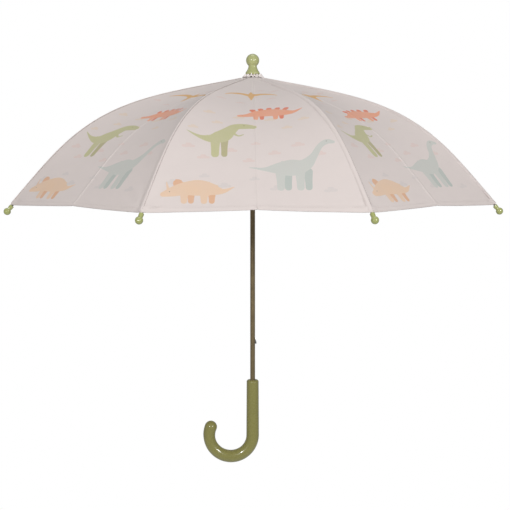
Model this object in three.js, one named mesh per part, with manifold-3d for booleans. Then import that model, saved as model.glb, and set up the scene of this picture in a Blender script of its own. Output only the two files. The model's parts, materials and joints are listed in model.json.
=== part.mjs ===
// A child's stick umbrella with eight ribs and a crook handle, open.
// Millimetres, +Z up. The origin is the centre of the handle's straight grip, on the shaft's axis.
// The crook turns towards -X, and the middle of one gore faces -Y.
import * as THREE from "three";
import { mergeVertices } from "three/addons/utils/BufferGeometryUtils.js";
import Module from "manifold-3d";

const wasm = await Module();
wasm.setup();

// ---- driving dimensions ----
const RIB_COUNT = 8;
const GORE_ANGLE = (2 * Math.PI) / RIB_COUNT;
const HALF_GORE = GORE_ANGLE / 2;
const FIRST_RIB_AZIMUTH = -Math.PI / 2 + HALF_GORE;
const GAP = 0.3; // clearance between pieces that touch

// The canopy's outer surface over a rib: nearly straight at the top and at the hem, bent between.
const CANOPY_TOP_R = 6;
const CANOPY_TOP_Z = 480.5;
const RIB_ARC = 396.5;
const TOP_SLOPE = THREE.MathUtils.degToRad(11);
const HEM_SLOPE = THREE.MathUtils.degToRad(48.8);
const BEND_RISE = 3.55; // the higher, the longer the slope stays as it is at the top
const BEND_FALL = 4.42; // the higher, the sooner it reaches its value at the hem
const CLOTH_THICKNESS = 0.8;
const CLOTH_START = 3.2; // arc length where the gores leave the crown
const HEM_RISE = 4; // how much shorter a gore is at its crease than at its ribs
const PANEL_INSET = 0.2;
const CREASE_SAG = 11; // how far the cloth's tension draws a gore in, at the middle of its crease
const SAG_START = 20; // arc length where that begins

const RIB_WIDTH = 2.4;
const RIB_DEPTH = 2.2;
const RIB_WALL = 0.5;
const RIB_DROP = 3; // rib centre line below the cloth's outer surface
const RIB_CHANNEL_START = 9;
const RIB_INSERT = 5; // length of rib beyond the hem, inside its tip
const RIB_STEPS = 15;
const CROWN_PIVOT_R = 7.5;
const CROWN_PIVOT_Z = 473.9;
const EYE_HOLE_R = 0.85;
const RIB_EYE_R = 2;

const STRETCHER_LENGTH = 170;
const STRETCHER_JOINT_ARC = 170; // where along the rib the stretcher is riveted
const STRETCHER_JOINT_DROP = 2.6; // rivet below the rib's centre line
const STRETCHER_WIDTH = 4.8;
const STRETCHER_DEPTH = 2.4;
const STRETCHER_WALL = 0.7;
const STRETCHER_FORK = 56; // length of the fork's ears, which have no web between them
const STRETCHER_EYE_R = 2.2;
const STRETCHER_EYE_WIDTH = 2.8;
const STRETCHER_NECK = 10;
const RIVET_R = 1.5;
const RIVET_WIDTH = 2.8;
const RUNNER_PIVOT_R = 10;

const TIP_BALL_R = 4.75;
const TIP_BALL_Z = 9.5;
const TIP_SLEEVE_R = 2.6;
const TIP_BORE_R = 1.95;
const TIP_BORE_DEPTH = 5.6;
const TIP_GAP = 0.8;

const SHAFT_R = 3.5;
const SHAFT_BORE_R = 2.9;
const SHAFT_BOTTOM_Z = 7.4;
const SHAFT_TOP_Z = 497.4;
const SOCKET_R = SHAFT_R + GAP; // bore of every piece that sits on the shaft

const GRIP_HALF = 41.2;
const GRIP_TOP_R = 8.65;
const GRIP_R = 9.1;
const GRIP_CHAMFER = 1.6;
const CROOK_R = 32;
const CROOK_ARC = THREE.MathUtils.degToRad(202.6);
const CROOK_END_R = 9.6;
const HANDLE_SOCKET_Z = 7;

const FINIAL_BOTTOM_Z = 484.2;
const FINIAL_BALL_R = 9.4;
const FINIAL_BALL_Z = 503.8;
const FINIAL_NECK_R = 6;
const FINIAL_NECK_Z = 494.4;
const FINIAL_BASE_R = 10.25;
const FINIAL_BORE_TOP_Z = 498.4;

const CROWN_R = 10.5;
const CROWN_CORE_R = 5.1;
const CROWN_BOTTOM_Z = 468.4;
const CROWN_SLOT_TOP_Z = 477.2;
const CROWN_TOP_Z = 478.5;
const CROWN_SLOT = 3.4;
const WIRE_R = 0.4;
const WIRE_GROOVE = 1.8;

const RUNNER_R = 7.2;
const RUNNER_RIM_R = 8.4;
const RUNNER_FIN_R = 12.5;
const RUNNER_BELOW = 60; // sleeve below the stretcher pivots
const RUNNER_ABOVE = 5;
const RUNNER_FIN_BELOW = 5.5;
const RUNNER_SLOT = 3.6;
const KEYWAY_R = 6.1;
const KEYWAY_WIDTH = 2.6;
const WINDOW_LENGTH = 12.2;
const WINDOW_RIM = 2.9;
const RUNNER_RIM_HEIGHT = 2.2;
const RUNNER_RIM_TAPER = 1.2;
const RUNNER_FIN_TAPER = 4;
const EYE_CLEARANCE = 0.6;
const STOP_WALL = 1.8;
const STOP_HEIGHT = 3;
const STOP_CLEARANCE = 0.6;

const CATCH_WIDTH = 1.8;
const CATCH_NOSE = 5.6;
const CATCH_LENGTH = 10;
const CATCH_BODY = 2.4;
const CATCH_BACK = -0.3;
const CATCH_CLEARANCE = 0.5; // between the top catch and the runner it holds up
const BOTTOM_CATCH_Z = 94.9;

const STRAP_RIB = 4; // the strap is sewn to the gore behind this rib
const STRAP_WIDTH = 18;
const STRAP_LENGTH = 150;
const STRAP_FROM_CREASE = 12; // its middle line, from the gore's crease
const STRAP_THICKNESS = 1.2;
const SNAP_R = 4.8;
const SNAP_HEIGHT = 1.6;

// ---- materials ----
const COLOURS = {
  cloth: { color: 0xdcd2cc, roughness: 0.85, metalness: 0 },
  strap: { color: 0xd8cdc6, roughness: 0.85, metalness: 0 },
  greenPlastic: { color: 0xb0b878, roughness: 0.3, metalness: 0 },
  olivePlastic: { color: 0x868550, roughness: 0.22, metalness: 0 },
  blackPlastic: { color: 0x26262a, roughness: 0.45, metalness: 0 },
  bronze: { color: 0x6a5f47, roughness: 0.35, metalness: 0.8 },
  steel: { color: 0x9a9b9d, roughness: 0.35, metalness: 0.9 },
};

const umbrella = new THREE.Group();

function addMesh(parent, name, geometry, look) {
  const mesh = new THREE.Mesh(geometry, new THREE.MeshStandardMaterial(COLOURS[look]));
  mesh.name = name;
  parent.add(mesh);
  return mesh;
}

// ---- solids ----
function toSolid(geometry) {
  const bare = geometry.index ? geometry.toNonIndexed() : geometry.clone();
  bare.deleteAttribute("normal");
  bare.deleteAttribute("uv");
  const merged = mergeVertices(bare, 1e-4);
  return new wasm.Manifold(
    new wasm.Mesh({
      numProp: 3,
      vertProperties: merged.attributes.position.array,
      triVerts: new Uint32Array(merged.index.array),
    }),
  );
}

function toGeometry(solid) {
  const mesh = solid.getMesh();
  const geometry = new THREE.BufferGeometry();
  geometry.setAttribute("position", new THREE.BufferAttribute(mesh.vertProperties, mesh.numProp));
  geometry.setIndex(new THREE.BufferAttribute(mesh.triVerts, 1));
  return geometry;
}

function joined(...geometries) {
  return geometries.map(toSolid).reduce((whole, next) => whole.add(next));
}

function cut(solid, ...geometries) {
  return geometries.map(toSolid).reduce((whole, next) => whole.subtract(next), solid);
}

// A turned solid about Z. The profile's [r, z] points run up the outside and down the inside.
function turned(profile, segments) {
  const points = profile.map(([r, z]) => new THREE.Vector2(r, z));
  return new THREE.LatheGeometry(points, segments).rotateX(Math.PI / 2);
}

function ring(inner, outer, low, high, segments) {
  const profile = [[inner, low], [outer, low], [outer, high], [inner, high], [inner, low]];
  return turned(profile, segments);
}

function box(sizes, centre) {
  return new THREE.BoxGeometry(...sizes).translate(...centre);
}

// A disc whose axis lies along Y.
function sidewaysDisc(radius, width, x, z, segments = 10) {
  return new THREE.CylinderGeometry(radius, radius, width, segments).translate(x, 0, z);
}

function arcPoints(centreR, centreZ, radius, from, to, steps) {
  return Array.from({ length: steps + 1 }, (_, i) => {
    const angle = from + ((to - from) * i) / steps;
    return [centreR + radius * Math.cos(angle), centreZ + radius * Math.sin(angle)];
  });
}

// A closed sheet: outer(u, v) and inner(u, v) give its two faces for u and v from 0 to 1.
function closedSheet(outer, inner, uSteps, vSteps) {
  const positions = [];
  const corner = (face, i, j) => face(i / uSteps, j / vSteps);
  const triangle = (a, b, c) => positions.push(...a.toArray(), ...b.toArray(), ...c.toArray());
  const quad = (a, b, c, d) => {
    triangle(a, b, c);
    triangle(a, c, d);
  };
  for (let i = 0; i < uSteps; i++) {
    for (let j = 0; j < vSteps; j++) {
      quad(
        corner(outer, i, j),
        corner(outer, i + 1, j),
        corner(outer, i + 1, j + 1),
        corner(outer, i, j + 1),
      );
      quad(
        corner(inner, i, j),
        corner(inner, i, j + 1),
        corner(inner, i + 1, j + 1),
        corner(inner, i + 1, j),
      );
    }
  }
  for (let i = 0; i < uSteps; i++) {
    quad(corner(inner, i, 0), corner(inner, i + 1, 0), corner(outer, i + 1, 0), corner(outer, i, 0));
    quad(
      corner(outer, i, vSteps),
      corner(outer, i + 1, vSteps),
      corner(inner, i + 1, vSteps),
      corner(inner, i, vSteps),
    );
  }
  for (let j = 0; j < vSteps; j++) {
    quad(corner(outer, 0, j), corner(outer, 0, j + 1), corner(inner, 0, j + 1), corner(inner, 0, j));
    quad(
      corner(inner, uSteps, j),
      corner(inner, uSteps, j + 1),
      corner(outer, uSteps, j + 1),
      corner(outer, uSteps, j),
    );
  }
  const geometry = new THREE.BufferGeometry();
  geometry.setAttribute("position", new THREE.Float32BufferAttribute(positions, 3));
  geometry.computeVertexNormals();
  return geometry;
}

// ---- the canopy's shape ----
function slopeAt(arc) {
  const part = Math.min(arc / RIB_ARC, 1);
  return TOP_SLOPE + (HEM_SLOPE - TOP_SLOPE) * (1 - (1 - part ** BEND_RISE) ** BEND_FALL);
}

// A point in a rib's own plane: [r, z] at an arc length, a little below the cloth's outer surface.
function profileAt(arc, drop = 0) {
  const steps = 60;
  let r = CANOPY_TOP_R;
  let z = CANOPY_TOP_Z;
  for (let i = 0; i < steps; i++) {
    const slope = slopeAt((arc * (i + 0.5)) / steps);
    r += (Math.cos(slope) * arc) / steps;
    z -= (Math.sin(slope) * arc) / steps;
  }
  const slope = slopeAt(arc);
  return [r - drop * Math.sin(slope), z - drop * Math.cos(slope)];
}

// A point of the half gore beside a rib at azimuth 0. side is 1 or -1, and across runs from
// 0 at the rib to 1 at the gore's crease. raise moves it off the cloth's outer surface.
function goreAt(arc, across, side, raise = 0) {
  const [r, z] = profileAt(arc);
  const slope = slopeAt(arc);
  const along = THREE.MathUtils.clamp((arc - SAG_START) / (RIB_ARC - SAG_START), 0, 1);
  const lift = raise - CREASE_SAG * Math.sin(Math.PI * along) * across * (2 - across);
  const creaseX = r * Math.cos(HALF_GORE) ** 2;
  const creaseY = r * Math.cos(HALF_GORE) * Math.sin(HALF_GORE);
  const azimuth = HALF_GORE * across;
  return new THREE.Vector3(
    r + (creaseX - r) * across + lift * Math.sin(slope) * Math.cos(azimuth),
    side * (creaseY * across + lift * Math.sin(slope) * Math.sin(azimuth)),
    z + lift * Math.cos(slope),
  );
}

function panelGeometry(side) {
  const arcSteps = 15;
  const acrossSteps = 2;
  const place = (u, v, lift) => {
    const across = side > 0 ? v : 1 - v;
    const arc = CLOTH_START + (RIB_ARC - HEM_RISE * across ** 2 - CLOTH_START) * u;
    const inset = PANEL_INSET / (profileAt(arc)[0] * Math.sin(HALF_GORE));
    return goreAt(arc, inset + (1 - 2 * inset) * across, side, lift);
  };
  return closedSheet(
    (u, v) => place(u, v, 0),
    (u, v) => place(u, v, -CLOTH_THICKNESS),
    arcSteps,
    acrossSteps,
  );
}

// ---- ribs, tips and stretchers, each drawn in the plane of a rib at azimuth 0 ----
const [rivetR, rivetZ] = profileAt(STRETCHER_JOINT_ARC, RIB_DROP + STRETCHER_JOINT_DROP);
const stretcherReach = rivetR - RUNNER_PIVOT_R;
const stretcherRise = Math.sqrt(STRETCHER_LENGTH ** 2 - stretcherReach ** 2);
const runnerPivotZ = rivetZ - stretcherRise;
const stretcherTilt = Math.atan2(stretcherRise, stretcherReach);

function ribGeometry() {
  const section = new THREE.Shape();
  const halfWidth = RIB_WIDTH / 2;
  const halfDepth = RIB_DEPTH / 2;
  section.moveTo(-halfWidth, -halfDepth);
  section.lineTo(halfWidth, -halfDepth);
  section.lineTo(halfWidth, halfDepth);
  section.lineTo(halfWidth - RIB_WALL, halfDepth);
  section.lineTo(halfWidth - RIB_WALL, RIB_WALL - halfDepth);
  section.lineTo(RIB_WALL - halfWidth, RIB_WALL - halfDepth);
  section.lineTo(RIB_WALL - halfWidth, halfDepth);
  section.lineTo(-halfWidth, halfDepth);
  section.closePath();
  const length = RIB_ARC + RIB_INSERT - RIB_CHANNEL_START;
  const line = Array.from({ length: RIB_STEPS + 1 }, (_, i) => {
    const [r, z] = profileAt(RIB_CHANNEL_START + (length * i) / RIB_STEPS, RIB_DROP);
    return new THREE.Vector3(r, 0, z);
  });
  const extrudePath = new THREE.CatmullRomCurve3(line);
  const channel = new THREE.ExtrudeGeometry(section, { steps: RIB_STEPS, extrudePath });

  const linkReach = line[0].x - CROWN_PIVOT_R;
  const linkRise = line[0].z - CROWN_PIVOT_Z;
  const linkOverlap = 1.5;
  const linkLength = Math.hypot(linkReach, linkRise) + linkOverlap;
  const link = new THREE.BoxGeometry(linkLength, RIB_WIDTH, RIB_WIDTH * 0.75);
  link.translate(linkLength / 2, 0, 0);
  link.rotateY(-Math.atan2(linkRise, linkReach));
  link.translate(CROWN_PIVOT_R, 0, CROWN_PIVOT_Z);

  const eye = sidewaysDisc(RIB_EYE_R, RIB_WIDTH, CROWN_PIVOT_R, CROWN_PIVOT_Z);
  const lugLength = 5;
  const lugDepth = STRETCHER_JOINT_DROP + RIB_DEPTH / 2;
  const lug = new THREE.BoxGeometry(lugLength, RIB_WIDTH - 2 * RIB_WALL + 0.4, lugDepth);
  lug.translate(0, 0, lugDepth / 2);
  lug.rotateY(slopeAt(STRETCHER_JOINT_ARC));
  lug.translate(rivetR, 0, rivetZ);
  const rivet = sidewaysDisc(RIVET_R, RIVET_WIDTH, rivetR, rivetZ);
  const hole = sidewaysDisc(EYE_HOLE_R, RIB_WIDTH * 2, CROWN_PIVOT_R, CROWN_PIVOT_Z, 6);
  return toGeometry(cut(joined(channel, link, eye, lug, rivet), hole));
}

// The stretcher lies along +X from its eye at the origin to its rivet.
function stretcherGeometry() {
  const long = STRETCHER_LENGTH;
  const bar = box([long, STRETCHER_WIDTH, STRETCHER_DEPTH], [long / 2, 0, 0]);
  const earEnds = sidewaysDisc(STRETCHER_DEPTH / 2 + 0.4, STRETCHER_WIDTH, long, 0);
  const eye = sidewaysDisc(STRETCHER_EYE_R, STRETCHER_EYE_WIDTH, 0, 0);
  const inside = STRETCHER_WIDTH - 2 * STRETCHER_WALL;
  const channelStart = STRETCHER_NECK + 4;
  const channelEnd = long - STRETCHER_FORK;
  const channelSize = [channelEnd - channelStart, inside, STRETCHER_DEPTH];
  const channelMiddle = (channelStart + channelEnd) / 2;
  const channel = box(channelSize, [channelMiddle, 0, STRETCHER_WALL]);
  const fork = box([STRETCHER_FORK + 4, inside, STRETCHER_DEPTH * 3], [long + 2 - STRETCHER_FORK / 2, 0, 0]);
  const cheek = (STRETCHER_WIDTH - STRETCHER_EYE_WIDTH) / 2;
  const cheekY = (STRETCHER_WIDTH - cheek) / 2;
  const cheeks = [1, -1].map((side) =>
    box([2 * STRETCHER_NECK, cheek + 0.02, STRETCHER_DEPTH * 3], [0, side * (cheekY + 0.01), 0]),
  );
  const hole = sidewaysDisc(EYE_HOLE_R, STRETCHER_WIDTH * 2, 0, 0, 6);
  return toGeometry(cut(joined(bar, earEnds, eye), channel, fork, ...cheeks, hole));
}

// The tip's sleeve opens at the origin and its ball lies along +Z.
function tipGeometry() {
  const neckR = TIP_SLEEVE_R - 0.4;
  const neckAngle = -Math.acos(neckR / TIP_BALL_R);
  const ball = arcPoints(0, TIP_BALL_Z, TIP_BALL_R, neckAngle, Math.PI / 2, 6);
  ball[ball.length - 1][0] = 0;
  const mouth = [[0, TIP_BORE_DEPTH], [TIP_BORE_R, TIP_BORE_DEPTH], [TIP_BORE_R, 0], [TIP_SLEEVE_R, 0]];
  return turned([...mouth, [TIP_SLEEVE_R, 3.6], ...ball], 10);
}

const ribShape = ribGeometry();
const stretcherShape = stretcherGeometry();
const tipShape = tipGeometry();
const panelShapes = { left: panelGeometry(1), right: panelGeometry(-1) };
const [tipR, tipZ] = profileAt(RIB_ARC + TIP_GAP, RIB_DROP);

function addRib(number) {
  const spoke = new THREE.Group();
  spoke.rotation.z = FIRST_RIB_AZIMUTH + GORE_ANGLE * (number - 1);
  umbrella.add(spoke);
  addMesh(spoke, `rib_${number}`, ribShape.clone(), "steel");
  const tip = addMesh(spoke, `tip_${number}`, tipShape.clone(), "greenPlastic");
  tip.position.set(tipR, 0, tipZ);
  tip.rotation.y = Math.PI / 2 + HEM_SLOPE;
  const stretcher = addMesh(spoke, `stretcher_${number}`, stretcherShape.clone(), "steel");
  stretcher.position.set(RUNNER_PIVOT_R, 0, runnerPivotZ);
  stretcher.rotation.y = -stretcherTilt;
  for (const [side, shape] of Object.entries(panelShapes)) {
    addMesh(spoke, `panel_${number}_${side}`, shape.clone(), "cloth");
  }
  return spoke;
}

const spokes = Array.from({ length: RIB_COUNT }, (_, i) => addRib(i + 1));

// ---- the tie strap, laid up the outside of a rear gore from the hem ----
function strapPoint(up, sideways, lift) {
  const hemMargin = 8;
  const arc = RIB_ARC - hemMargin - STRAP_LENGTH * up;
  const width = profileAt(arc)[0] * Math.sin(HALF_GORE);
  return goreAt(arc, 1 - (STRAP_FROM_CREASE - sideways) / width, 1, lift);
}

function addStrap(spoke) {
  const strapBase = 1.2; // clear of the gore's facets
  const strapTop = strapBase + STRAP_THICKNESS;
  const faceAt = (lift) => (u, v) => strapPoint(1 - u, (v - 0.5) * STRAP_WIDTH, lift);
  addMesh(spoke, "tie_strap", closedSheet(faceAt(strapTop), faceAt(strapBase), 8, 1), "strap");
  const snaps = { snap_stud: 0.1, snap_socket: 0.92 };
  for (const [name, up] of Object.entries(snaps)) {
    const snap = addMesh(spoke, name, snapGeometry(name === "snap_stud"), "steel");
    const along = strapPoint(up + 0.01, 0, strapTop).sub(strapPoint(up - 0.01, 0, strapTop));
    const across = strapPoint(up, 1, strapTop).sub(strapPoint(up, -1, strapTop));
    const outward = across.cross(along).normalize();
    snap.position.copy(strapPoint(up, 0, strapTop)).addScaledVector(outward, GAP);
    snap.quaternion.setFromUnitVectors(new THREE.Vector3(0, 0, 1), outward);
  }
}

function snapGeometry(isStud) {
  const rimHeight = SNAP_HEIGHT * 0.6;
  const middle = isStud
    ? [[SNAP_R * 0.42, rimHeight], [SNAP_R * 0.42, SNAP_HEIGHT * 1.5], [0, SNAP_HEIGHT * 1.5]]
    : [[SNAP_R * 0.6, SNAP_HEIGHT], [SNAP_R * 0.42, rimHeight], [0, rimHeight]];
  return turned([[0, 0], [SNAP_R, 0], [SNAP_R, rimHeight], ...middle], 12);
}

addStrap(spokes[STRAP_RIB - 1]);

// ---- the shaft, its two spring catches and the stop above the runner ----
const runnerBottomZ = runnerPivotZ - RUNNER_BELOW;
const topCatchZ = runnerBottomZ - CATCH_CLEARANCE;

function catchSlot(low) {
  return box([SHAFT_R * 2, CATCH_WIDTH + 0.6, CATCH_LENGTH + 1], [SHAFT_R, 0, low + CATCH_LENGTH / 2]);
}

function shaftGeometry() {
  const tube = toSolid(ring(SHAFT_BORE_R, SHAFT_R, SHAFT_BOTTOM_Z, SHAFT_TOP_Z, 20));
  return toGeometry(cut(tube, catchSlot(BOTTOM_CATCH_Z), catchSlot(topCatchZ - CATCH_LENGTH)));
}

// The catch's square end lies at the origin and its ramp falls away along +Z.
function catchGeometry() {
  const side = new THREE.Shape();
  const tail = 1.4;
  side.moveTo(CATCH_BACK, -tail);
  side.lineTo(CATCH_BODY, -tail);
  side.lineTo(CATCH_BODY, 0);
  side.lineTo(CATCH_NOSE, 0);
  side.lineTo(CATCH_NOSE, CATCH_LENGTH * 0.22);
  side.lineTo(SHAFT_R - 0.2, CATCH_LENGTH);
  side.lineTo(CATCH_BODY, CATCH_LENGTH);
  side.lineTo(CATCH_BODY, CATCH_LENGTH + tail);
  side.lineTo(CATCH_BACK, CATCH_LENGTH + tail);
  side.closePath();
  const plate = new THREE.ExtrudeGeometry(side, { depth: CATCH_WIDTH, bevelEnabled: false });
  return plate.translate(0, 0, -CATCH_WIDTH / 2).rotateX(Math.PI / 2);
}

addMesh(umbrella, "shaft", shaftGeometry(), "bronze");
const bottomCatch = addMesh(umbrella, "bottom_catch", catchGeometry(), "steel");
bottomCatch.position.z = BOTTOM_CATCH_Z;
const topCatch = addMesh(umbrella, "top_catch", catchGeometry(), "steel");
topCatch.position.z = topCatchZ;
topCatch.rotation.x = Math.PI;
const stopZ = runnerPivotZ + RUNNER_ABOVE + STOP_CLEARANCE;
addMesh(umbrella, "stop_ring", ring(SOCKET_R, SHAFT_R + STOP_WALL, stopZ, stopZ + STOP_HEIGHT, 16), "steel");

// ---- the crown, the runner and the wires that hold the ribs and stretchers in them ----
function slots(width, inner, outer, low, high) {
  return spokes.map((spoke) =>
    box([outer - inner, width, high - low], [(outer + inner) / 2, 0, (low + high) / 2]).rotateZ(
      spoke.rotation.z,
    ),
  );
}

function crownGeometry() {
  const blank = ring(SOCKET_R, CROWN_R, CROWN_BOTTOM_Z, CROWN_TOP_Z, 24);
  const grooveLow = CROWN_PIVOT_Z - WIRE_GROOVE / 2;
  const grooveHigh = CROWN_PIVOT_Z + WIRE_GROOVE / 2;
  const groove = ring(CROWN_PIVOT_R - WIRE_R - GAP, CROWN_R + 1, grooveLow, grooveHigh, 24);
  const ribSlots = slots(CROWN_SLOT, CROWN_CORE_R, CROWN_R + 2, CROWN_BOTTOM_Z - 1, CROWN_SLOT_TOP_Z);
  return toGeometry(cut(toSolid(blank), groove, ...ribSlots));
}

function runnerGeometry() {
  const top = runnerPivotZ + RUNNER_ABOVE;
  const finBottom = runnerPivotZ - RUNNER_FIN_BELOW;
  const profile = [
    [SOCKET_R, runnerBottomZ],
    [RUNNER_RIM_R, runnerBottomZ],
    [RUNNER_RIM_R, runnerBottomZ + RUNNER_RIM_HEIGHT],
    [RUNNER_R, runnerBottomZ + RUNNER_RIM_HEIGHT + RUNNER_RIM_TAPER],
    [RUNNER_R, finBottom - RUNNER_FIN_TAPER],
    [RUNNER_FIN_R, finBottom],
    [RUNNER_FIN_R, top],
    [SOCKET_R, top],
    [SOCKET_R, runnerBottomZ],
  ];
  const grooveLow = runnerPivotZ - WIRE_GROOVE / 2;
  const grooveHigh = runnerPivotZ + WIRE_GROOVE / 2;
  const groove = ring(RUNNER_PIVOT_R - WIRE_R - GAP, RUNNER_FIN_R + 1, grooveLow, grooveHigh, 24);
  const slotBottom = runnerPivotZ - STRETCHER_EYE_R - EYE_CLEARANCE;
  const eyeSlots = slots(RUNNER_SLOT, RUNNER_R, RUNNER_FIN_R + 2, slotBottom, top + 1);
  const height = RUNNER_BELOW + RUNNER_ABOVE;
  const middleZ = runnerBottomZ + height / 2;
  const keyway = box([KEYWAY_R, KEYWAY_WIDTH, height + 2], [KEYWAY_R / 2, 0, middleZ]);
  const windowZ = runnerBottomZ + WINDOW_RIM + WINDOW_LENGTH / 2;
  const window = box([RUNNER_RIM_R * 2, KEYWAY_WIDTH, WINDOW_LENGTH], [RUNNER_RIM_R, 0, windowZ]);
  return toGeometry(cut(toSolid(turned(profile, 24)), groove, keyway, window, ...eyeSlots));
}

addMesh(umbrella, "crown", crownGeometry(), "blackPlastic");
addMesh(umbrella, "runner", runnerGeometry(), "blackPlastic");
const crownWire = new THREE.TorusGeometry(CROWN_PIVOT_R, WIRE_R, 5, 24);
addMesh(umbrella, "crown_wire", crownWire, "steel").position.z = CROWN_PIVOT_Z;
const runnerWire = new THREE.TorusGeometry(RUNNER_PIVOT_R, WIRE_R, 5, 24);
addMesh(umbrella, "runner_wire", runnerWire, "steel").position.z = runnerPivotZ;

// ---- the finial and the gathered cloth collar under it ----
function finialGeometry() {
  const neckAngle = -Math.acos((FINIAL_NECK_R - 0.5) / FINIAL_BALL_R);
  const ball = arcPoints(0, FINIAL_BALL_Z, FINIAL_BALL_R, neckAngle, Math.PI / 2, 8);
  ball[ball.length - 1][0] = 0;
  const profile = [
    [0, FINIAL_BORE_TOP_Z],
    [SOCKET_R, FINIAL_BORE_TOP_Z],
    [SOCKET_R, FINIAL_BOTTOM_Z],
    [FINIAL_BASE_R - 0.6, FINIAL_BOTTOM_Z],
    [FINIAL_BASE_R, FINIAL_BOTTOM_Z + 0.8],
    [FINIAL_BASE_R - 0.5, FINIAL_BOTTOM_Z + 2.4],
    [FINIAL_NECK_R + 1.3, FINIAL_NECK_Z - 3.4],
    [FINIAL_NECK_R, FINIAL_NECK_Z],
    ...ball,
  ];
  return turned(profile, 20);
}

function rosetteGeometry() {
  const edgeR = 14.4;
  const profile = [
    [SOCKET_R, CANOPY_TOP_Z + 0.5],
    [edgeR - 0.4, CANOPY_TOP_Z - 0.7],
    [edgeR, CANOPY_TOP_Z + 0.2],
    [FINIAL_BASE_R, CANOPY_TOP_Z + 2.8],
    [SOCKET_R, FINIAL_BOTTOM_Z - GAP],
    [SOCKET_R, CANOPY_TOP_Z + 0.5],
  ];
  return turned(profile, 24);
}

addMesh(umbrella, "finial", finialGeometry(), "greenPlastic");
addMesh(umbrella, "rosette", rosetteGeometry(), "cloth");

// ---- the crook handle ----
function handleGeometry() {
  const overlap = 0.5;
  const grip = turned(
    [
      [0, -GRIP_HALF - overlap],
      [GRIP_R, -GRIP_HALF - overlap],
      [GRIP_R, -GRIP_HALF],
      [GRIP_TOP_R, GRIP_HALF - GRIP_CHAMFER],
      [GRIP_TOP_R - GRIP_CHAMFER * 0.4, GRIP_HALF - GRIP_CHAMFER * 0.3],
      [GRIP_TOP_R - GRIP_CHAMFER, GRIP_HALF],
      [0, GRIP_HALF],
    ],
    16,
  );
  const bendSteps = 20;
  const bendLine = Array.from({ length: bendSteps + 1 }, (_, i) => {
    const angle = (-CROOK_ARC * i) / bendSteps;
    const x = CROOK_R * Math.cos(angle) - CROOK_R;
    return new THREE.Vector3(x, 0, CROOK_R * Math.sin(angle) - GRIP_HALF);
  });
  const section = new THREE.Shape(
    Array.from({ length: 16 }, (_, i) => {
      const angle = (2 * Math.PI * i) / 16;
      return new THREE.Vector2(GRIP_R * Math.cos(angle), GRIP_R * Math.sin(angle));
    }),
  );
  const extrudePath = new THREE.CatmullRomCurve3(bendLine);
  const bend = new THREE.ExtrudeGeometry(section, { steps: bendSteps, extrudePath });
  const end = bendLine[bendSteps];
  const knob = new THREE.SphereGeometry(CROOK_END_R, 16, 10).translate(end.x, 0, end.z);
  const socket = turned(
    [
      [0, HANDLE_SOCKET_Z],
      [SOCKET_R, HANDLE_SOCKET_Z],
      [SOCKET_R, GRIP_HALF + 1],
      [0, GRIP_HALF + 1],
    ],
    24,
  );
  return toGeometry(cut(joined(grip, bend, knob), socket));
}

addMesh(umbrella, "handle", handleGeometry(), "olivePlastic");

export default umbrella;
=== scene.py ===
"""The looks of a child's stick umbrella: printed cloth gores, seams, plastic furniture and frame."""
import json
import math

import bmesh
import bpy
import numpy as np
from mathutils import Matrix, Vector
from mathutils.geometry import delaunay_2d_cdt


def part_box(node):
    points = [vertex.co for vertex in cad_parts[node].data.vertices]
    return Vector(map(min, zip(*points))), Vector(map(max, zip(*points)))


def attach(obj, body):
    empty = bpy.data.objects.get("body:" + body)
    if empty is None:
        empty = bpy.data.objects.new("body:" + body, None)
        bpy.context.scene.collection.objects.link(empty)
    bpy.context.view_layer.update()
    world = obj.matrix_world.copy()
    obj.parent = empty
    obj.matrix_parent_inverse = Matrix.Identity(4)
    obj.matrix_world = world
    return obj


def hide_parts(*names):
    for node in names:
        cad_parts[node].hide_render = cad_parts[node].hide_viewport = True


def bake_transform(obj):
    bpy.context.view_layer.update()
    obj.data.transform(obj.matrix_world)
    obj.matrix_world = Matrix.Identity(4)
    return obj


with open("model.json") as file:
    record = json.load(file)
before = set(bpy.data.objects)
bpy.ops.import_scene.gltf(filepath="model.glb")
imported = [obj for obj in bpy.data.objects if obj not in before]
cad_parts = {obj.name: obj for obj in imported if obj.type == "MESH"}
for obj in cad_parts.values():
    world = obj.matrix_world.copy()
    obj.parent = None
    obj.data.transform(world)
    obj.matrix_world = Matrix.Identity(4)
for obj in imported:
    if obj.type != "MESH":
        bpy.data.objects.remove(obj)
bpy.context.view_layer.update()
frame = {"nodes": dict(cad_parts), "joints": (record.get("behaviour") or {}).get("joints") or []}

MM = 0.001
RIBS = 8
HALF_GORE = math.pi / RIBS


# ---- what the frame says ----
def joint(name):
    return next(j for j in frame["joints"] if j["name"] == name)


def rib_azimuth(k):
    x, y, _ = joint(f"rib_{k}_hinge")["pos_m"]
    return math.atan2(y, x)


CROWN_PIVOT_Z = joint("rib_1_hinge")["pos_m"][2] / MM
CROWN_PIVOT_R = math.hypot(*joint("rib_1_hinge")["pos_m"][:2]) / MM
RUNNER_PIVOT_Z = joint("stretcher_1_hinge")["pos_m"][2] / MM
GRIP_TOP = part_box("handle")[1].z / MM
SHAFT_LOW, SHAFT_HIGH = (c.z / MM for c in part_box("shaft"))
RUNNER_LOW, RUNNER_HIGH = (c.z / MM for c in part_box("runner"))
FINIAL_LOW, FINIAL_HIGH = (c.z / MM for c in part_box("finial"))

# ---- the canopy's shape, as in the CAD: millimetres, in the plane of a rib at azimuth 0 ----
RIB_ARC = 396.5
TOP_R = 6
TOP_Z = CROWN_PIVOT_Z + 6.6
TOP_SLOPE = math.radians(11)
HEM_SLOPE = math.radians(48.8)
BEND_RISE = 3.55
BEND_FALL = 4.42
HEM_RISE = 4
CREASE_SAG = 11
SAG_START = 20
RIB_DROP = 3.0
CLOTH_START = 3.2
CLOTH = 0.45  # thickness of the cloth shown

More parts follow.
